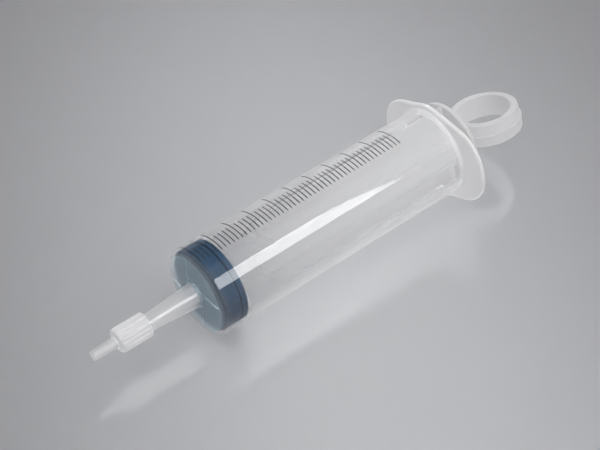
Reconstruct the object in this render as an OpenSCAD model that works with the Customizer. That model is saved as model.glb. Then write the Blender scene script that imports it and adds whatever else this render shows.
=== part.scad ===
// Hand-operated catheter-tip syringe: clear barrel with an oval finger flange
// and a tapered nozzle, printed scale, rubber stopper, ribbed plunger with a
// thumb ring, and a push-on adapter that ends in a small tapered tip.
// X runs along the syringe, from the tip to the thumb ring. Z is up.
// The origin is under the middle of the length, level with the flange's
// lowest point. Inside the file, distances along X count from the zero line.

/* [Barrel] */
// Volume of one millimetre of the bore, in millilitres
ml_per_mm = 1.0; // [0.9:0.05:1.1]
// Wall thickness of the barrel
barrel_wall = 1.21; // [1.0:0.01:1.6]
// Distance from the zero line to the front face of the flange
barrel_len = 120.4; // [119:0.1:130]
// Thickness of the front wall
front_wall = 1.2; // [1.0:0.1:1.5]
// Distance of the front wall's outer face ahead of the zero line
front_face = 2.4; // [2.2:0.1:3.0]

/* [Finger flange] */
// Half of the flange's long axis
flange_a = 30.3; // [28:0.1:33]
// Half of the flange's short axis
flange_b = 21.8; // [21.4:0.1:24]
// Fullness of the flange's four blunt corners
flange_full = 0.56; // [0:0.02:0.8]
// Turn of the flange about the barrel: it lies on one of its flats
flange_turn = 13; // [-20:1:20]
// Thickness of the flange
flange_t = 2.1; // [1.8:0.1:3.0]
// Length of the flared collar between the barrel and the flange
collar_len = 2.0; // [1.8:0.1:2.6]
// Rise of the collar over the barrel
collar_rise = 0.7; // [0.4:0.1:1.2]

/* [Nozzle] */
// Distance of the nozzle's end ahead of the zero line
nozzle_end = 35; // [32:0.5:36]
// Outer radius of the nozzle at its root
nozzle_root_r = 5.0; // [4.8:0.05:5.2]
// Outer radius of the nozzle at its end
nozzle_end_r = 2.9; // [2.8:0.05:3.0]
// Height of the four ribs on the front wall
front_rib_h = 0.6; // [0.3:0.1:0.8]

/* [Printed scale] */
// Spacing of the scale lines
tick_pitch = 2.0; // [1:0.5:2]
// Number of spaces on the scale
tick_spaces = 50; // [10:5:50]
// Width of a printed line
tick_w = 0.36; // [0.2:0.02:0.6]
// Angle covered by a short line
tick_short = 26; // [15:1:40]
// Angle covered by a long line
tick_long = 46; // [30:1:70]

/* [Stopper] */
// Length of the stopper behind the zero line
stopper_len = 9.7; // [9:0.1:10]
// Radial gap between the stopper and the bore
stopper_gap = 0.05; // [0.02:0.01:0.1]

/* [Plunger] */
// Distance from the zero line to the back face of the thumb disc
disc_back = 130.5; // [129:0.1:132]
// Radius of the thumb disc
disc_r = 17.6; // [16:0.1:18]
// Thickness of the plunger's ribs
rib_t = 1.8; // [1.2:0.1:2.4]
// Half width of the ribs just behind the stopper
rib_front = 15.6; // [14:0.1:16.5]
// Half width of the ribs at the thumb disc
rib_rear = 16.9; // [15:0.1:17]
// Turn of the plunger: tilt of the ring's axis from level
ring_tilt = 71; // [0:1:180]

/* [Thumb ring] */
// Inner radius of the thumb ring
ring_r = 11.9; // [10:0.1:12.5]
// Outer radius of the thumb ring
ring_out = 15.3; // [14:0.1:15.6]
// Width of the ring's band
ring_w = 9.4; // [8:0.1:12]
// Distance from the zero line to the ring's centre
ring_x = 149.7; // [149:0.1:152]

/* [Tip adapter] */
// Distance of the adapter's tip ahead of the zero line
tip_end = 51; // [50:0.5:54]
// Length of the ribbed grip
grip_len = 14; // [12:0.5:15]
// Distance of the grip's rear end ahead of the zero line
grip_rear = 26; // [25:0.5:27]
// Outer radius over the ribs of the grip
grip_r = 5.3; // [5.1:0.1:6]
// Number of ribs on the grip
grip_ribs = 16; // [8:1:20]
// Radius of the tip at its end
tip_r = 1.97; // [1.9:0.01:2.05]
// Radius of the fluid hole in the tip
tip_hole = 1.1; // [0.8:0.05:1.3]
// Radial gap between the adapter and the nozzle
adapter_gap = 0.05; // [0.02:0.01:0.1]

/* [Hidden] */
$fn = 96;

bore_r = sqrt(1000 * ml_per_mm / PI);
barrel_r = bore_r + barrel_wall;
tube_from = -0.4;
tube_end = barrel_len - collar_len;
front_corner = front_face + tube_from;
flange_back = barrel_len + flange_t;
x_mid = (ring_x + ring_out - tip_end) / 2;
rim_n = 96;
axis_h = max([for (i = [0 : rim_n - 1])
    flange_r(360 * i / rim_n) * sin(360 * i / rim_n + flange_turn)]);
disc_t = 2.0;
grip_front = grip_rear + grip_len;
bead_in = 0.34;
tick_from = 187;

// Radius of the flange's outline at angle a from its long axis
function flange_r(a) = (flange_a + flange_b) / 2 - flange_full
    + ((flange_a - flange_b) / 2 + flange_full) * cos(2 * a)
    + flange_full * (cos(4 * a) - cos(6 * a));
function nozzle_r(d) = nozzle_root_r
    + (nozzle_end_r - nozzle_root_r) * (d - 4.4) / (nozzle_end - 4.4);
function arc(cx, cy, r, a0, a1, n = 8) =
    [for (i = [0 : n]) let (a = a0 + (a1 - a0) * i / n)
        [cx + r * cos(a), cy + r * sin(a)]];

// Places a shape made along +Z onto the syringe's axis, x from the zero line
module on_axis(x = 0) {
    translate([x - x_mid, 0, axis_h]) rotate([0, 90, 0]) children();
}

// Places a shape drawn flat at the plunger's own turn about the axis
module plunger_turn(x = 0) {
    translate([x - x_mid, 0, axis_h]) rotate([ring_tilt - 90, 0, 0]) children();
}

module barrel_tube() {
    color([0.88, 0.91, 0.90, 0.45])
    on_axis(tube_from) difference() {
        cylinder(h = tube_end - tube_from, r = barrel_r);
        translate([0, 0, -1]) cylinder(h = tube_end - tube_from + 2, r = bore_r);
    }
}

// Blunt-cornered oval plate, its flared collar and the stop bead in the mouth
module finger_flange() {
    deep = collar_len + flange_t;
    color([0.90, 0.92, 0.92, 0.6]) difference() {
        intersection() {
            on_axis(tube_end) linear_extrude(deep)
                polygon([for (i = [0 : rim_n - 1])
                    let (a = 360 * i / rim_n, t = a + flange_turn)
                        [-flange_r(a) * sin(t), -flange_r(a) * cos(t)]]);
            on_axis(tube_end) rotate_extrude() polygon([
                [barrel_r, 0], [barrel_r + collar_rise, collar_len],
                [flange_a + 4, collar_len], [flange_a + 4, deep], [0, deep], [0, 0]]);
        }
        on_axis(tube_end) rotate_extrude() polygon([
            [0, -1], [bore_r, -1], [bore_r, 0.3], [bore_r - bead_in, 0.9],
            [bore_r - bead_in, 1.5], [bore_r, 2.1],
            [bore_r, deep - 0.8], [bore_r + 1.0, deep + 0.2], [0, deep + 0.2]]);
    }
}

// Front wall with its rounded corner and ribs, and the hollow tapered nozzle
module catheter_nozzle() {
    color([0.88, 0.92, 0.92, 0.5]) {
        on_axis() rotate_extrude() polygon(concat(
            arc(barrel_r - front_corner, tube_from, front_corner, 0, -90),
            arc(nozzle_root_r + 1.5, -4.0, 1.5, 90, 180, 6),
            [[nozzle_r(nozzle_end - 0.5), -nozzle_end + 0.5],
             [nozzle_end_r - 0.5, -nozzle_end],
             [1.9, -nozzle_end], [3.1, -6], [3.6, -front_wall],
             [bore_r - 1.0, -front_wall], [bore_r, tube_from]]));
        for (a = [0 : 90 : 270])
            on_axis(-front_face - front_rib_h) rotate([0, 0, a])
                translate([4.0, nozzle_root_r + 2, 0]) cube([0.8, 9.0, front_rib_h + 0.3]);
    }
}

module tick(x, sweep) {
    on_axis(x - tick_w / 2) rotate([0, 0, tick_from - sweep])
        rotate_extrude(angle = sweep)
            translate([barrel_r, 0]) square([0.03, tick_w]);
}

module graduation_scale() {
    color([0.05, 0.05, 0.06])
    for (i = [0 : tick_spaces])
        tick(i * tick_pitch, i % 5 == 0 ? tick_long : tick_short);
}

module stopper() {
    r = bore_r - stopper_gap;
    color([0.04, 0.06, 0.16])
    on_axis() rotate_extrude() polygon([
        [0, -0.5], [r - 0.9, -0.5], [r, 0.4], [r, 6.2], [r - 0.6, 6.4],
        [r - 0.6, 6.8], [r, 7.0], [r, stopper_len - 0.3], [r - 0.3, stopper_len],
        [5.10, stopper_len], [5.10, 7.3], [7.30, 7.3], [7.30, 3.3], [0, 3.3]]);
}

module rib_plate() {
    translate([0, 0, -rib_t / 2]) linear_extrude(rib_t)
        polygon([[11, -rib_front], [disc_back - 1, -rib_rear],
                 [disc_back - 1, rib_rear], [11, rib_front]]);
}

// Head in the stopper, pressure disc, crossed ribs and thumb disc
module plunger_rod() {
    color([0.90, 0.92, 0.93, 0.7]) {
        on_axis() rotate_extrude() polygon([
            [0, 3.5], [6.4, 3.5], [7.22, 4.4], [7.22, 7.2], [5.02, 7.2],
            [5.02, 10.0], [16.5, 10.0], [16.9, 10.4], [16.9, 11.4],
            [16.5, 11.8], [0, 11.8]]);
        on_axis(disc_back - disc_t) rotate_extrude() polygon([
            [0, 0], [disc_r - 0.4, 0], [disc_r, 0.4], [disc_r, disc_t - 0.4],
            [disc_r - 0.4, disc_t], [0, disc_t]]);
        difference() {
            plunger_turn() rib_plate();
            for (s = [-1, 1]) plunger_turn(112.5) translate([0, s * 6.2, -5])
                cylinder(h = 10, r = 3.7);
        }
        plunger_turn() rotate([90, 0, 0]) rib_plate();
    }
}

// Flat ring with a small step where the halves of its mould met, and its neck
module thumb_ring() {
    h = ring_w / 2;
    color([0.93, 0.94, 0.95, 0.8]) difference() {
        union() {
            plunger_turn(ring_x) rotate_extrude() polygon([
                [ring_r - 1, -h], [ring_out - 0.9, -h], [ring_out - 0.3, -h + 0.5],
                [ring_out, 0], [ring_out - 0.4, 0], [ring_out - 0.7, h - 0.5],
                [ring_out - 1.3, h], [ring_r - 1, h]]);
            plunger_turn(disc_back) translate([0, 0, -3.6]) linear_extrude(7.2)
                polygon([[0, -8], [6.2, -6.4], [6.2, 6.4], [0, 8]]);
        }
        plunger_turn(ring_x) translate([0, 0, -h - 1]) cylinder(h = ring_w + 2, r = ring_r);
        for (s = [-1, 1]) plunger_turn(ring_x) scale(1) rotate([s < 0 ? 180 : 0, 0, 0])
            translate([0, 0, h - 0.6]) cylinder(h = 0.7, r1 = ring_r, r2 = ring_r + 0.7);
    }
}

// Ribbed grip with a tapered socket for the nozzle, and the small tapered tip
module luer_adapter() {
    color([0.94, 0.95, 0.96, 0.85]) difference() {
        union() {
            on_axis(-grip_front) rotate_extrude() polygon([
                [0, 0], [grip_r - 1.5, 0], [grip_r - 0.5, 0.5], [grip_r, 1.7],
                [grip_r, grip_len - 1.1], [grip_r - 0.4, grip_len - 0.3],
                [grip_r - 1.0, grip_len], [0, grip_len]]);
            on_axis(-tip_end) rotate_extrude() polygon([
                [0, 0], [tip_r - 0.25, 0], [tip_r, 0.3],
                [tip_r + 0.03 * (tip_end - grip_front), tip_end - grip_front + 0.5],
                [0, tip_end - grip_front + 0.5]]);
        }
        on_axis(-tip_end - 1) cylinder(h = tip_end, r = tip_hole);
        on_axis(-nozzle_end - 0.4) rotate_extrude() polygon([
            [0, 0], [nozzle_r(nozzle_end) + adapter_gap, 0],
            [nozzle_r(grip_rear - 1) + adapter_gap, nozzle_end + 0.4 - (grip_rear - 1)],
            [0, nozzle_end + 0.4 - (grip_rear - 1)]]);
        for (i = [0 : grip_ribs - 1]) on_axis(-grip_front - 1)
            rotate([0, 0, 360 * (i + 0.5) / grip_ribs]) translate([grip_r + 0.3, 0, 0])
                cylinder(h = grip_len + 2, r = 0.75, $fn = 32);
    }
}

barrel_tube();
finger_flange();
catheter_nozzle();
graduation_scale();
stopper();
plunger_rod();
thumb_ring();
luer_adapter();
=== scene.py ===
import math
import bpy
import bmesh
from mathutils import Matrix, Vector


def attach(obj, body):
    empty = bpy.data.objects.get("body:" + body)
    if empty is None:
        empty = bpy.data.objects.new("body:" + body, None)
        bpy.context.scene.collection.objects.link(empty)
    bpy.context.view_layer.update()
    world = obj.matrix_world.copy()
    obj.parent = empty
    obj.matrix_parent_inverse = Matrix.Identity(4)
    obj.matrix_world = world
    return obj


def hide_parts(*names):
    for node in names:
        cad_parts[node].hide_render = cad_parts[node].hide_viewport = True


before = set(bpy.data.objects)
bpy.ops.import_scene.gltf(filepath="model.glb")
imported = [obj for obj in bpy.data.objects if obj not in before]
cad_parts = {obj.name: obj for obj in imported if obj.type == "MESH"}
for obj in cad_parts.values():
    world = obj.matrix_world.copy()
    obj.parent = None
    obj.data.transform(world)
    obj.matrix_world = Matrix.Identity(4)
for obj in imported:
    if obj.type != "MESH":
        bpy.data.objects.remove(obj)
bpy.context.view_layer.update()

# ---------------------------------------------------------------- dimensions
# Millimetres along the axis count from the scale's zero line, as in the CAD.
X_MID = 57.0
AXIS_H = 21.6463
BORE_R = math.sqrt(1000.0 / math.pi)
WALL = 1.21
TUBE_R = BORE_R + WALL
FL_X0, FL_X1 = 120.4, 122.5
FL_A, FL_B, FL_FULL = 30.3, 21.8, 0.56
FL_TURN = math.radians(13.0)
TILT = math.radians(71.0)
E_DIR = Vector((0.0, -math.sin(TILT), math.cos(TILT)))
N_DIR = Vector((0.0, math.cos(TILT), math.sin(TILT)))
RING_X = 150.0


def nozzle_r(d):
    return 5.0 + (2.9 - 5.0) * (d - 4.4) / (35.0 - 4.4)


def flange_r(a):
    """Radius of the flange's outline at angle a from its long axis."""
    return ((FL_A + FL_B) / 2 - FL_FULL + ((FL_A - FL_B) / 2 + FL_FULL) * math.cos(2 * a)
            + FL_FULL * (math.cos(4 * a) - math.cos(6 * a)))


def place(x, y, z):
    return ((x - X_MID) / 1000.0, y / 1000.0, (z + AXIS_H) / 1000.0)


# ---------------------------------------------------------------- mesh tools
def rounded(pts, seg=6, closed=True):
    """Polyline through (a, b, radius) corners, each corner turned into an arc."""
    out = []
    n = len(pts)
    for i in range(n):
        a, b, f = pts[i]
        if f <= 0 or (not closed and i in (0, n - 1)):
            out.append((a, b))
            continue
        B = Vector((a, b))
        A = Vector(pts[i - 1][:2])
        C = Vector(pts[(i + 1) % n][:2])
        la, lc = (A - B).length, (C - B).length
        u, w = (A - B) / la, (C - B) / lc
        half = 0.5 * math.acos(max(-1.0, min(1.0, u.dot(w))))
        t = min(f / max(math.tan(half), 1e-6), 0.49 * la, 0.49 * lc)
        r = t * math.tan(half)
        ctr = B + (u + w).normalized() * (r / math.sin(half))
        p0, p1 = B + u * t - ctr, B + w * t - ctr
        a0 = math.atan2(p0.y, p0.x)
        d = math.atan2(p1.y, p1.x) - a0
        d = (d + math.pi) % (2 * math.pi) - math.pi
        for k in range(seg + 1):
            q = a0 + d * k / seg
            out.append((ctr.x + r * math.cos(q), ctr.y + r * math.sin(q)))
    return out


def finish_mesh(name, bm, sharp=38.0):
    bmesh.ops.recalc_face_normals(bm, faces=bm.faces)
    me = bpy.data.meshes.new(name)
    bm.to_mesh(me)
    bm.free()
    me.polygons.foreach_set("use_smooth", [True] * len(me.polygons))
    me.set_sharp_from_angle(angle=math.radians(sharp))
    ob = bpy.data.objects.new(name, me)
    bpy.context.scene.collection.objects.link(ob)
    return ob


def lathe_into(bm, prof, n, put):
    """Turns a profile of (along, radius) about an axis; prof may depend on the angle."""
    cols = []
    first = last = None
    for i in range(n):
        th = 2 * math.pi * i / n
        p = prof(th) if callable(prof) else prof
        col = []
        for j, (a, r) in enumerate(p):
            if r < 1e-6:
                if j == 0:
                    first = first or bm.verts.new(put(a, 0.0, 0.0))
                    col.append(first)
                else:
                    last = last or bm.verts.new(put(a, 0.0, 0.0))
                    col.append(last)
            else:
                col.append(bm.verts.new(put(a, -r * math.cos(th), r * math.sin(th))))
        cols.append(col)
    m = len(cols[0])
    loop = not (first and last)
    for i in range(n):
        c0, c1 = cols[i], cols[(i + 1) % n]
        for j in range(m if loop else m - 1):
            k = (j + 1) % m
            vs = []
            for v in (c0[j], c0[k], c1[k], c1[j]):
                if v not in vs:
                    vs.append(v)
            if len(vs) > 2:
                bm.faces.new(vs)


def on_axis(a, y, z):
    return place(a, y, z)


def on_ring(a, y, z):
    """Ring frame: a along the ring's own axis, y and z in the ring's plane."""
    v = N_DIR * a + E_DIR * (-y)
    return place(RING_X + z, v.y, v.z)


def lathe(name, prof, n=192, put=on_axis, sharp=38.0):
    bm = bmesh.new()
    lathe_into(bm, prof, n, put)
    return finish_mesh(name, bm, sharp)


def loft_into(bm, rings):
    """Closed tube through rings of points, with flat ends."""
    vs = [[bm.verts.new(p) for p in ring] for ring in rings]
    m = len(vs[0])
    for a, b in zip(vs, vs[1:]):
        for j in range(m):
            bm.faces.new((a[j], a[(j + 1) % m], b[(j + 1) % m], b[j]))
    bm.faces.new(vs[0])
    bm.faces.new(vs[-1])


def plunger_pt(x, u, v):
    d = E_DIR * u + N_DIR * v
    return place(x, d.y, d.z)


def boolean(a, b, op):
    m = a.modifiers.new("cut", "BOOLEAN")
    m.object = b
    m.operation = op
    m.solver = "EXACT"
    dg = bpy.context.evaluated_depsgraph_get()
    me = bpy.data.meshes.new_from_object(a.evaluated_get(dg))
    a.modifiers.clear()
    old = a.data
    a.data = me
    bpy.data.meshes.remove(old)
    old = b.data
    bpy.data.objects.remove(b)
    bpy.data.meshes.remove(old)


def smooth_all(ob, angle=38.0):
    me = ob.data
    me.polygons.foreach_set("use_smooth", [True] * len(me.polygons))
    me.set_sharp_from_angle(angle=math.radians(angle))


def flat_normals(ob):
    """Lets the large faces set the shading, so that flats beside small roundings stay flat."""
    m = ob.modifiers.new("normals", "WEIGHTED_NORMAL")
    m.mode = "FACE_AREA"
    m.weight = 50
    m.keep_sharp = True


# ---------------------------------------------------------------- barrel
def barrel_profile(th):
    rim = flange_r(th - FL_TURN)
    return rounded([
        (-35.0, 2.90, 0.35), (-2.75, 5.12, 1.5), (-2.40, TUBE_R, 2.3), (117.6, TUBE_R, 0.0),
        (FL_X0, TUBE_R + 0.12, 1.25), (FL_X0, rim, 0.9), (FL_X1, rim, 0.9),
        (FL_X1, BORE_R + 0.8, 0.3), (FL_X1 - 0.8, BORE_R, 0.4),
        (120.5, BORE_R, 0.3), (119.9, BORE_R - 0.34, 0.3),
        (119.3, BORE_R - 0.34, 0.3), (118.7, BORE_R, 0.3),
        (-1.2, BORE_R, 1.1), (-1.2, 3.55, 0.7), (-6.0, 3.10, 1.5), (-35.0, 1.90, 0.3)], 7)


def make_barrel():
    shell = lathe("barrel_shell", barrel_profile, 288)
    # four thin ribs that run off the nozzle's root across the front wall
    for k in range(4):
        a = math.pi / 2 * k
        c, s = math.cos(a), math.sin(a)
        sec = rounded([(-0.4, 0.3, 0.0), (-0.4, -0.6, 0.25), (0.4, -0.6, 0.25), (0.4, 0.3, 0.0)], 4)
        rings = []
        for t, h in ((6.6, 1.0), (8.0, 1.0), (11.0, 1.0), (14.0, 0.95), (15.4, 0.7), (16.2, 0.35)):
            rings.append([place(-2.4 + (d * h if d < 0 else d),
                                t * c - (o - 4.4) * s, t * s + (o - 4.4) * c) for o, d in sec])
        bm = bmesh.new()
        loft_into(bm, rings)
        boolean(shell, finish_mesh("rib", bm), "UNION")
    smooth_all(shell)
    return shell


barrel = make_barrel()
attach(barrel, "barrel")
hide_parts("barrel_tube", "finger_flange", "catheter_nozzle")


# ---------------------------------------------------------------- printed scale
def make_scale():
    bm = bmesh.new()
    for i in range(51):
        x = 2.0 * i
        sweep = 46.0 if i % 5 == 0 else 26.0
        n = int(sweep / 1.25)
        rings = []
        for j in range(n + 1):
            ph = math.radians(83.0 + sweep * j / n)
            rings.append([place(x + dx, -r * math.cos(ph), r * math.sin(ph))
                          for dx, r in ((-0.22, TUBE_R + 0.004), (0.22, TUBE_R + 0.004),
                                        (0.20, TUBE_R + 0.03), (-0.20, TUBE_R + 0.03))])
        loft_into(bm, rings)
    return finish_mesh("scale_lines", bm, 60.0)


scale = make_scale()
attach(scale, "barrel")
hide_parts("graduation_scale")
# cloudy plastic blurs the thin lines' shadows and reflections away
scale.visible_shadow = scale.visible_diffuse = False
scale.visible_glossy = scale.visible_transmission = False


# ---------------------------------------------------------------- stopper
R_S = BORE_R - 0.05
stopper = lathe("stopper_seal", rounded([
    (-0.5, 0.0, 0.0), (-0.5, R_S - 0.9, 0.8), (0.5, R_S, 0.7), (6.15, R_S, 0.3),
    (6.25, R_S - 1.0, 0.15), (7.05, R_S - 1.0, 0.15), (7.15, R_S, 0.3),
    (9.7, R_S, 0.5), (9.7, 5.10, 0.3), (7.3, 5.10, 0.15), (7.3, 7.30, 0.3),
    (3.3, 7.30, 0.4), (3.3, 0.0, 0.0)], 6, closed=False), 224)
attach(stopper, "stopper")
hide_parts("stopper")


# ---------------------------------------------------------------- plunger
def make_plunger():
    # crossed ribs with rounded edges and filleted roots, widening to the rear
    bm = bmesh.new()
    rings = []
    t = 0.9
    for x, w in ((11.0, 15.6), (129.2, 16.9)):
        sec = rounded([(w, -t, 0.5), (w, t, 0.5), (t, t, 1.0), (t, w, 0.5), (-t, w, 0.5),
                       (-t, t, 1.0), (-w, t, 0.5), (-w, -t, 0.5), (-t, -t, 1.0),
                       (-t, -w, 0.5), (t, -w, 0.5), (t, -t, 1.0)], 5)
        rings.append([plunger_pt(x, u, v) for u, v in sec])
    loft_into(bm, rings)
    body = finish_mesh("plunger", bm)

    for s in (-1, 1):
        bm = bmesh.new()
        prof = rounded([(-1.6, 0.0, 0.0), (-1.6, 4.6, 0.0), (-0.9, 4.05, 0.3), (-0.45, 3.7, 0.3),
                        (0.45, 3.7, 0.3), (0.9, 4.05, 0.3), (1.6, 4.6, 0.0), (1.6, 0.0, 0.0)],
                       4, closed=False)
        lathe_into(bm, prof, 64, lambda a, y, z, s=s: plunger_pt(112.5 + z, 6.2 * s + y, a))
        boolean(body, finish_mesh("hole", bm), "DIFFERENCE")

    head = lathe("head", rounded([
        (3.5, 0.0, 0.0), (3.5, 6.2, 0.7), (4.6, 7.22, 0.6), (7.2, 7.22, 0.3), (7.2, 5.02, 0.3),
        (10.0, 5.02, 0.1), (10.0, 16.9, 0.5), (11.8, 16.9, 0.5), (11.8, 0.0, 0.0)],
        5, closed=False), 160)
    boolean(body, head, "UNION")
    disc = lathe("disc", rounded([
        (128.5, 0.0, 0.0), (128.5, 17.6, 0.55), (130.5, 17.6, 0.7), (130.5, 0.0, 0.0)],
        6, closed=False), 224)
    boolean(body, disc, "UNION")

    # neck that flares out of the disc into the ring
    bm = bmesh.new()
    rings = []
    for x, hu, hv in ((129.6, 9.6, 4.6), (130.5, 9.2, 4.3), (131.0, 8.5, 3.95), (131.8, 7.9, 3.7),
                      (133.0, 7.4, 3.6), (135.0, 6.9, 3.6), (137.0, 6.4, 3.6)):
        sec = rounded([(hu, -hv, 0.9), (hu, hv, 0.9), (-hu, hv, 0.9), (-hu, -hv, 0.9)], 5)
        rings.append([plunger_pt(x, u, v) for u, v in sec])
    loft_into(bm, rings)
    boolean(body, finish_mesh("neck", bm), "UNION")

    # ring with drafted faces and the small step where its two mould halves met
    ring = lathe("ring", rounded([
        (-5.20, 11.70, 0.45), (-5.20, 15.20, 0.80), (-0.05, 15.55, 0.15), (0.05, 15.15, 0.12),
        (4.95, 14.60, 0.40), (4.95, 11.65, 0.20), (0.0, 11.6, 0.0)], 6), 192, on_ring)
    boolean(body, ring, "UNION")
    smooth_all(body)
    return body


plunger = make_plunger()
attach(plunger, "plunger")
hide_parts("plunger_rod", "thumb_ring")


# ---------------------------------------------------------------- tip adapter
def adapter_profile(th):
    g = 0.5 + 0.5 * math.cos(16 * th)
    rg = 5.3 - 0.36 * (1.0 - g) ** 1.3
    return rounded([
        (-51.0, 1.97, 0.35), (-40.0, 2.30, 0.5), (-40.0, rg, 1.8), (-26.0, rg, 0.95),
        (-26.0, nozzle_r(26.0) + 0.25, 0.15), (-26.9, nozzle_r(26.9) + 0.05, 0.2),
        (-35.4, nozzle_r(35.4) + 0.05, 0.4), (-35.4, 1.10, 0.2), (-51.0, 1.10, 0.2)], 6)


adapter = lathe("tip_adapter", adapter_profile, 256)
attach(adapter, "adapter")
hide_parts("luer_adapter")


# ---------------------------------------------------------------- materials
def node(nt, kind, x, y, **props):
    n = nt.nodes.new(kind)
    n.location = (x, y)
    for k, v in props.items():
        setattr(n, k, v)
    return n


def new_material(name):
    m = bpy.data.materials.new(name)
    m.use_nodes = True
    nt = m.node_tree
    return m, nt, nt.nodes["Principled BSDF"]


def ramp(nt, x, y, stops):
    r = node(nt, "ShaderNodeValToRGB", x, y)
    e = r.color_ramp.elements
    e[0].position, e[0].color = stops[0][0], (*stops[0][1], 1.0)
    e[1].position, e[1].color = stops[-1][0], (*stops[-1][1], 1.0)
    for p, c in stops[1:-1]:
        k = e.new(p)
        k.color = (*c, 1.0)
    return r


def noise(nt, x, y, coord, scale, detail=3.0, stretch=None, rough=0.5):
    src = coord
    if stretch:
        mp = node(nt, "ShaderNodeMapping", x - 200, y)
        mp.inputs["Scale"].default_value = stretch
        nt.links.new(coord, mp.inputs["Vector"])
        src = mp.outputs["Vector"]
    n = node(nt, "ShaderNodeTexNoise", x, y)
    n.inputs["Scale"].default_value = scale
    n.inputs["Detail"].default_value = detail
    n.inputs["Roughness"].default_value = rough
    nt.links.new(src, n.inputs["Vector"])
    return n.outputs["Fac"]


def spread(nt, x, y, src, lo, hi, a=0.3, b=0.7):
    m = node(nt, "ShaderNodeMapRange", x, y)
    m.inputs["From Min"].default_value = a
    m.inputs["From Max"].default_value = b
    m.inputs["To Min"].default_value = lo
    m.inputs["To Max"].default_value = hi
    nt.links.new(src, m.inputs["Value"])
    return m.outputs["Result"]


def moulded(name, light, dark, rough, flow, grain):
    """Start of a moulded plastic: cloudy colour, patchy gloss, flow lines and a fine grain."""
    m, nt, b = new_material(name)
    tc = node(nt, "ShaderNodeTexCoord", -1100, 0).outputs["Object"]
    cloud = noise(nt, -700, 250, tc, 70.0, 4.0)
    col = ramp(nt, -450, 300, ((0.30, dark), (0.70, light)))
    nt.links.new(cloud, col.inputs["Fac"])
    nt.links.new(col.outputs["Color"], b.inputs["Base Color"])
    patch = noise(nt, -700, 0, tc, 160.0, 5.0, rough=0.6)
    nt.links.new(spread(nt, -450, 0, patch, rough[0], rough[1]), b.inputs["Roughness"])
    lines = noise(nt, -700, -250, tc, 1.0, 2.0, stretch=(25.0, 520.0, 520.0))
    fine = noise(nt, -700, -500, tc, 2400.0, 2.0)
    b1 = node(nt, "ShaderNodeBump", -450, -250)
    b1.inputs["Strength"].default_value = flow
    b1.inputs["Distance"].default_value = 0.0002
    nt.links.new(lines, b1.inputs["Height"])
    b2 = node(nt, "ShaderNodeBump", -250, -350)
    b2.inputs["Strength"].default_value = grain
    b2.inputs["Distance"].default_value = 0.0001
    nt.links.new(fine, b2.inputs["Height"])
    nt.links.new(b1.outputs["Normal"], b2.inputs["Normal"])
    nt.links.new(b2.outputs["Normal"], b.inputs["Normal"])
    return m, nt, b, tc, col.outputs["Color"], b2.outputs["Normal"]


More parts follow.
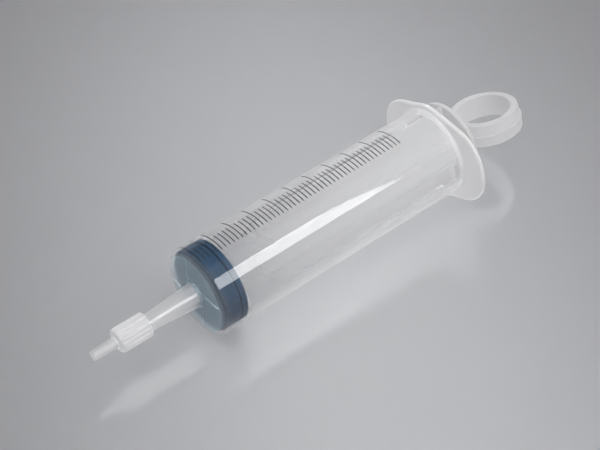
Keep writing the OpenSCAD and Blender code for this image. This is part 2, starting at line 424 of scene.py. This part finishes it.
def milky_plastic(name, light, dark, rough, zones, tint, lamp_tint, gloss, flow, painted_stopper_tint=None):
    """Cloudy plastic: part of the light passes straight on, the rest scatters both ways.
    Each zone takes over between two places along the length. It gives the scattered share
    face on and edge on, how much of the scattered light goes on to the far side, and it may
    stop at a radius. The last argument, when given, tints the plastic between four places
    along the length, up to a radius. This is painted colour that stands in for the blue-green
    stopper seen through the plastic, so it stays put when the stopper moves."""
    m, nt, b, tc, col, nrm = moulded(name, light, dark, rough, flow, 1.5 * flow)
    b.inputs["Specular IOR Level"].default_value = 0.0
    # a slanting look passes through more plastic, so the edges look whiter
    edge = node(nt, "ShaderNodeLayerWeight", -300, 600)
    edge.inputs["Blend"].default_value = 0.5
    slant = node(nt, "ShaderNodeMath", -100, 600, operation="POWER")
    slant.inputs[1].default_value = 5.0
    nt.links.new(edge.outputs["Facing"], slant.inputs[0])
    sep = node(nt, "ShaderNodeSeparateXYZ", -900, 700)
    nt.links.new(tc, sep.inputs["Vector"])
    flat = node(nt, "ShaderNodeMapping", -900, 1000)
    flat.inputs["Location"].default_value = (0.0, 0.0, -AXIS_H / 1000.0)
    flat.inputs["Scale"].default_value = (0.0, 1.0, 1.0)
    nt.links.new(tc, flat.inputs["Vector"])
    rad = node(nt, "ShaderNodeVectorMath", -700, 1000, operation="LENGTH")
    nt.links.new(flat.outputs["Vector"], rad.inputs[0])

    def inside(mask, r, y):
        near = spread(nt, -500, y, rad.outputs["Value"], 1.0, 0.0, (r - 0.3) / 1000.0, (r + 0.3) / 1000.0)
        cut = node(nt, "ShaderNodeMath", -300, y, operation="MULTIPLY")
        nt.links.new(mask, cut.inputs[0])
        nt.links.new(near, cut.inputs[1])
        return cut.outputs[0]

    # painted light: the tint stands in for the stopper's blue-green seen through the plastic; it is
    # painted in, so it stays when the stopper moves
    if painted_stopper_tint:
        rise = spread(nt, -700, 400, sep.outputs["X"], 0.0, 1.0, painted_stopper_tint[0] / 1000.0, painted_stopper_tint[1] / 1000.0)
        drop = spread(nt, -500, 400, sep.outputs["X"], 1.0, 0.0, painted_stopper_tint[2] / 1000.0, painted_stopper_tint[3] / 1000.0)
        both = node(nt, "ShaderNodeMath", -300, 400, operation="MULTIPLY")
        nt.links.new(rise, both.inputs[0])
        nt.links.new(drop, both.inputs[1])
        painted_tint = node(nt, "ShaderNodeMix", -100, 400, data_type="RGBA", blend_type="MULTIPLY")
        nt.links.new(inside(both.outputs[0], painted_stopper_tint[5], 450), painted_tint.inputs["Factor"])
        nt.links.new(col, painted_tint.inputs[6])
        painted_tint.inputs[7].default_value = (*painted_stopper_tint[4], 1.0)
        col = painted_tint.outputs[2]
        nt.links.new(col, b.inputs["Base Color"])
    share = onward = None
    for k, (x0, x1, face, rim, far, *limit) in enumerate(zones):
        y = 700 + 250 * k
        here = spread(nt, 100, y, slant.outputs[0], face, rim, 0.0, 1.0)
        if share is None:
            share, first = here, far
            continue
        mask = spread(nt, -700, y, sep.outputs["X"], 0.0, 1.0, x0 / 1000.0, x1 / 1000.0)
        if limit:
            mask = inside(mask, limit[0], y)
        pick = node(nt, "ShaderNodeMix", 300, y)
        nt.links.new(mask, pick.inputs["Factor"])
        nt.links.new(share, pick.inputs["A"])
        nt.links.new(here, pick.inputs["B"])
        share = pick.outputs["Result"]
        turn = node(nt, "ShaderNodeMix", 300, -y)
        nt.links.new(mask, turn.inputs["Factor"])
        if onward is None:
            turn.inputs["A"].default_value = first
        else:
            nt.links.new(onward, turn.inputs["A"])
        turn.inputs["B"].default_value = far
        onward = turn.outputs["Result"]
    back = node(nt, "ShaderNodeBsdfTranslucent", 100, 100)
    nt.links.new(col, back.inputs["Color"])
    milk = node(nt, "ShaderNodeMixShader", 500, 150)
    nt.links.new(onward, milk.inputs[0])
    nt.links.new(b.outputs["BSDF"], milk.inputs[1])
    nt.links.new(back.outputs["BSDF"], milk.inputs[2])
    clear = node(nt, "ShaderNodeBsdfTransparent", 300, 350)
    clear.inputs["Color"].default_value = (*tint, 1.0)
    body = node(nt, "ShaderNodeMixShader", 550, 250)
    nt.links.new(share, body.inputs[0])
    nt.links.new(clear.outputs["BSDF"], body.inputs[1])
    nt.links.new(milk.outputs["Shader"], body.inputs[2])
    # glossy skin on the side that the light meets first
    skin = node(nt, "ShaderNodeBsdfGlossy", 550, 50)
    patch = noise(nt, 100, -150, tc, 160.0, 5.0, rough=0.6)
    nt.links.new(spread(nt, 300, -150, patch, rough[0], rough[1]), skin.inputs["Roughness"])
    nt.links.new(nrm, skin.inputs["Normal"])
    fall = node(nt, "ShaderNodeMath", 100, 1400, operation="POWER")
    fall.inputs[1].default_value = 5.0
    nt.links.new(edge.outputs["Facing"], fall.inputs[0])
    front = node(nt, "ShaderNodeNewGeometry", 100, 1600)
    shine = spread(nt, 300, 1400, fall.outputs[0], gloss, 0.7, 0.0, 1.0)
    rim = node(nt, "ShaderNodeMath", 500, 1400, operation="MULTIPLY")
    nt.links.new(shine, rim.inputs[0])
    nt.links.new(spread(nt, 300, 1600, front.outputs["Backfacing"], 1.0, 0.0, 0.0, 1.0),
                 rim.inputs[1])
    faced = node(nt, "ShaderNodeMixShader", 800, 250)
    nt.links.new(rim.outputs[0], faced.inputs[0])
    nt.links.new(body.outputs["Shader"], faced.inputs[1])
    nt.links.new(skin.outputs["BSDF"], faced.inputs[2])
    # lamps, and light from other surfaces, reach what is behind the plastic
    path = node(nt, "ShaderNodeLightPath", 600, 700)
    top = node(nt, "ShaderNodeMath", 800, 700, operation="MAXIMUM")
    nt.links.new(path.outputs["Is Shadow Ray"], top.inputs[0])
    nt.links.new(path.outputs["Is Diffuse Ray"], top.inputs[1])
    lamp = node(nt, "ShaderNodeBsdfTransparent", 800, 500)
    lamp.inputs["Color"].default_value = (*lamp_tint, 1.0)
    out = node(nt, "ShaderNodeMixShader", 1050, 300)
    nt.links.new(top.outputs[0], out.inputs[0])
    nt.links.new(faced.outputs["Shader"], out.inputs[1])
    nt.links.new(lamp.outputs["BSDF"], out.inputs[2])
    nt.links.new(out.outputs["Shader"], nt.nodes["Material Output"].inputs["Surface"])
    return m


mat_barrel = milky_plastic("barrel_plastic", (0.97, 0.97, 0.97), (0.94, 0.94, 0.94), (0.04, 0.08),
                           ((0, 0, 0.12, 0.50, 0.95), (-47.6, -46.6, 0.26, 0.55, 0.92),
                            # the edge share climbs to 1.0 toward the flange: partly a milkier rear tube,
                            # partly a painted bright line along the upper silhouette
                            (-45, 60, 0.22, 1.0, 0.67), (62.0, 63.4, 0.68, 0.95, 0.60),
                            (-57.5, -58.5, 0.27, 0.80, 0.40, 17.0),
                            (-60.0, -61.5, 0.38, 0.88, 0.82)),
                           (0.985, 0.986, 0.986), (0.978, 0.979, 0.979), 0.035, 0.0015,
                           # painted light: blue-green tint of the stopper seen through the front rim,
                           # painted into the plastic; it stays when the stopper moves
                           (-61.0, -60.0, -58.0, -56.8, (0.68, 0.86, 0.96), 17.0))
mat_plunger = milky_plastic("plunger_plastic", (0.80, 0.80, 0.80), (0.77, 0.77, 0.77), (0.34, 0.48),
                            ((0, 0, 0.22, 0.65, 0.75), (-45, 60, 0.62, 0.85, 0.75),
                             (68.0, 71.0, 0.76, 0.96, 0.65)),
                            (0.985, 0.987, 0.988), (0.957, 0.959, 0.960), 0.012, 0.006)
mat_adapter = milky_plastic("adapter_plastic", (0.94, 0.94, 0.94), (0.91, 0.91, 0.91), (0.30, 0.45),
                            ((0, 0, 0.72, 0.94, 0.70), (-96.5, -98.0, 0.32, 0.80, 0.75)),
                            (0.985, 0.987, 0.988), (0.96, 0.962, 0.963), 0.015, 0.006)


def rubber():
    m, nt, b = new_material("stopper_rubber")
    tc = node(nt, "ShaderNodeTexCoord", -1100, 0).outputs["Object"]
    cloud = noise(nt, -700, 250, tc, 120.0, 5.0)
    col = ramp(nt, -450, 300, ((0.25, (0.006, 0.026, 0.056)), (0.75, (0.010, 0.037, 0.074))))
    nt.links.new(cloud, col.inputs["Fac"])
    nt.links.new(col.outputs["Color"], b.inputs["Base Color"])
    nt.links.new(spread(nt, -450, 0, cloud, 0.42, 0.58), b.inputs["Roughness"])
    b.inputs["Specular IOR Level"].default_value = 0.08
    fine = noise(nt, -700, -300, tc, 1500.0, 3.0)
    bp = node(nt, "ShaderNodeBump", -300, -300)
    bp.inputs["Strength"].default_value = 0.10
    bp.inputs["Distance"].default_value = 0.0001
    nt.links.new(fine, bp.inputs["Height"])
    nt.links.new(bp.outputs["Normal"], b.inputs["Normal"])
    # the cloudy barrel spreads light around the dark rubber, so its shadow is faint
    path = node(nt, "ShaderNodeLightPath", 300, 500)
    lamp = node(nt, "ShaderNodeBsdfTransparent", 300, 200)
    lamp.inputs["Color"].default_value = (0.80, 0.80, 0.80, 1.0)
    out = node(nt, "ShaderNodeMixShader", 600, 200)
    nt.links.new(path.outputs["Is Shadow Ray"], out.inputs[0])
    nt.links.new(b.outputs["BSDF"], out.inputs[1])
    nt.links.new(lamp.outputs["BSDF"], out.inputs[2])
    nt.links.new(out.outputs["Shader"], nt.nodes["Material Output"].inputs["Surface"])
    return m


def ink():
    m, nt, b = new_material("scale_ink")
    tc = node(nt, "ShaderNodeTexCoord", -900, 0).outputs["Object"]
    speck = noise(nt, -600, 200, tc, 3000.0, 2.0)
    col = ramp(nt, -350, 250, ((0.30, (0.004, 0.004, 0.004)), (0.80, (0.020, 0.020, 0.022))))
    nt.links.new(speck, col.inputs["Fac"])
    nt.links.new(col.outputs["Color"], b.inputs["Base Color"])
    nt.links.new(spread(nt, -350, 0, speck, 0.5, 0.7), b.inputs["Roughness"])
    b.inputs["Specular IOR Level"].default_value = 0.05
    return m


def give(ob, m):
    ob.data.materials.clear()
    ob.data.materials.append(m)


for piece in (barrel, stopper, plunger, adapter):
    flat_normals(piece)
give(barrel, mat_barrel)
give(scale, ink())
give(stopper, rubber())
give(plunger, mat_plunger)
give(adapter, mat_adapter)


# ---------------------------------------------------------------- floor
def make_floor():
    bm = bmesh.new()
    # the flange's edge and the front of the barrel both rest on it
    slope = (AXIS_H - TUBE_R) / (FL_X0 + 1.0)
    x_f = (FL_X0 - X_MID) / 1000.0
    s = 4.0
    vs = [bm.verts.new((x, y, (x_f - x) * slope - 0.00003))
          for x, y in ((-s, -s), (s, -s), (s, s), (-s, s))]
    bm.faces.new(vs)
    ob = finish_mesh("floor", bm)
    m, nt, b = new_material("floor_paint")
    tc = node(nt, "ShaderNodeTexCoord", -900, 0).outputs["Object"]
    cloud = noise(nt, -600, 200, tc, 6.0, 3.0)
    col = ramp(nt, -350, 250, ((0.3, (0.277, 0.279, 0.291)), (0.7, (0.285, 0.287, 0.299))))
    nt.links.new(cloud, col.inputs["Fac"])
    nt.links.new(col.outputs["Color"], b.inputs["Base Color"])
    nt.links.new(spread(nt, -350, 0, cloud, 0.006, 0.012), b.inputs["Roughness"])
    b.inputs["IOR"].default_value = 2.0
    # cloudy sheet: light spreads under the surface and softens the shadows
    b.inputs["Subsurface Weight"].default_value = 0.35
    b.inputs["Subsurface Radius"].default_value = (1.0, 1.0, 1.0)
    b.inputs["Subsurface Scale"].default_value = 0.09
    ob.data.materials.append(m)


make_floor()


# ---------------------------------------------------------------- camera
def make_camera():
    az, el, ro = math.radians(-37.247), math.radians(46.722), math.radians(2.140)
    back = Vector((math.sin(az) * math.cos(el), -math.cos(az) * math.cos(el), math.sin(el)))
    right = Vector((math.cos(az), math.sin(az), 0.0))
    down = (-back).cross(right)
    r2 = right * math.cos(ro) + down * math.sin(ro)
    d2 = down * math.cos(ro) - right * math.sin(ro)
    cam = bpy.data.cameras.new("camera")
    cam.sensor_fit = "HORIZONTAL"
    cam.sensor_width = 36.0
    cam.lens = 1777.37 / 600.0 * 36.0
    cam.clip_start, cam.clip_end = 0.01, 50.0
    ob = bpy.data.objects.new("camera", cam)
    m = Matrix((r2, -d2, back)).transposed().to_4x4()
    m.translation = Vector(place(-244.6, -386.8, 519.4))
    ob.matrix_world = m
    bpy.context.scene.collection.objects.link(ob)
    bpy.context.scene.camera = ob


make_camera()


# ---------------------------------------------------------------- light
def toward(az, el):
    a, e = math.radians(az), math.radians(el)
    return Vector((math.sin(a) * math.cos(e), -math.cos(a) * math.cos(e), math.sin(e)))


def softbox(name, centre, dist, right, up, roll, width, height, watts, mirrored):
    """Rectangle light that faces the barrel: its plane lies dist along the direction centre,
    and right and up shift it in that plane. It is either mirrored in surfaces or lights them."""
    c = toward(*centre)
    u = Vector((0.0, 0.0, 1.0))
    u = (u - c * u.dot(c)).normalized()
    r = u.cross(c)
    li = bpy.data.lights.new(name, "AREA")
    li.shape = "RECTANGLE"
    li.size, li.size_y = width, height
    li.energy = watts
    ob = bpy.data.objects.new(name, li)
    a = math.radians(roll)
    u2 = u * math.cos(a) + r * math.sin(a)
    m = Matrix((u2.cross(c), u2, c)).transposed().to_4x4()
    m.translation = Vector(place(45.0, -10.0, 10.0)) + c * dist + r * right + u * up
    ob.matrix_world = m
    ob.visible_camera = False
    ob.visible_glossy = mirrored
    ob.visible_diffuse = ob.visible_transmission = not mirrored
    li.cycles.use_multiple_importance_sampling = mirrored
    bpy.context.scene.collection.objects.link(ob)
    return ob


softbox("key_panel", (25.0, 42.0), 1.1, -0.094, 0.047, 8.0, 0.60, 0.475, 5.9, False)
shine = softbox("shine_panel", (25.0, 42.0), 1.09, -0.094, 0.047, 8.0, 0.60, 0.475, 10.8, True)
# it is mirrored in the outer pieces only, not in the satin plunger or the sheet
shiny = bpy.data.collections.new("shiny_pieces")
for piece in (barrel, scale, stopper, adapter):
    shiny.objects.link(piece)
shine.light_linking.receiver_collection = shiny


def unmirrored(name, li, matrix):
    """Adds a light that lights surfaces but isn't mirrored in them."""
    ob = bpy.data.objects.new(name, li)
    ob.matrix_world = matrix
    ob.visible_camera = ob.visible_glossy = False
    bpy.context.scene.collection.objects.link(ob)


pool = bpy.data.lights.new("pool_panel", "AREA")
pool.shape = "RECTANGLE"
pool.size, pool.size_y = 0.06, 0.51
pool.spread = math.radians(20.0)
pool.energy = 0.385
turn = Matrix.Rotation(math.radians(-28.6), 4, "Z")
unmirrored("pool_panel", pool, Matrix.Translation((-0.022, -0.047, 1.2)) @ turn)

world = bpy.data.worlds.new("world")
bpy.context.scene.world = world
world.use_nodes = True
wn = world.node_tree
bg = wn.nodes["Background"]
bg.inputs["Color"].default_value = (1.0, 0.99, 1.0, 1.0)
# the far side of the room is dim, so pale things show up mirrored in the sheet
tcw = node(wn, "ShaderNodeTexCoord", -900, 0)
away = node(wn, "ShaderNodeVectorMath", -650, 0, operation="DOT_PRODUCT")
wn.links.new(tcw.outputs["Generated"], away.inputs[0])
away.inputs[1].default_value = toward(147.0, 47.0)
dim = node(wn, "ShaderNodeMapRange", -400, 0, interpolation_type="SMOOTHERSTEP")
dim.inputs["From Min"].default_value = math.cos(math.radians(45.0))
dim.inputs["From Max"].default_value = math.cos(math.radians(20.0))
dim.inputs["To Min"].default_value = 0.68
dim.inputs["To Max"].default_value = 0.06
wn.links.new(away.outputs["Value"], dim.inputs["Value"])
ray = node(wn, "ShaderNodeLightPath", -400, 300)
room = node(wn, "ShaderNodeMix", -150, 0)
wn.links.new(ray.outputs["Is Glossy Ray"], room.inputs["Factor"])
room.inputs["A"].default_value = 0.68
wn.links.new(dim.outputs["Result"], room.inputs["B"])
wn.links.new(room.outputs["Result"], bg.inputs["Strength"])

sc = bpy.context.scene
sc.view_settings.view_transform = "Standard"
sc.view_settings.look = "None"
sc.cycles.max_bounces = 24
sc.cycles.transmission_bounces = 24
sc.cycles.glossy_bounces = 8
sc.cycles.transparent_max_bounces = 32
sc.cycles.caustics_reflective = False
sc.cycles.caustics_refractive = False
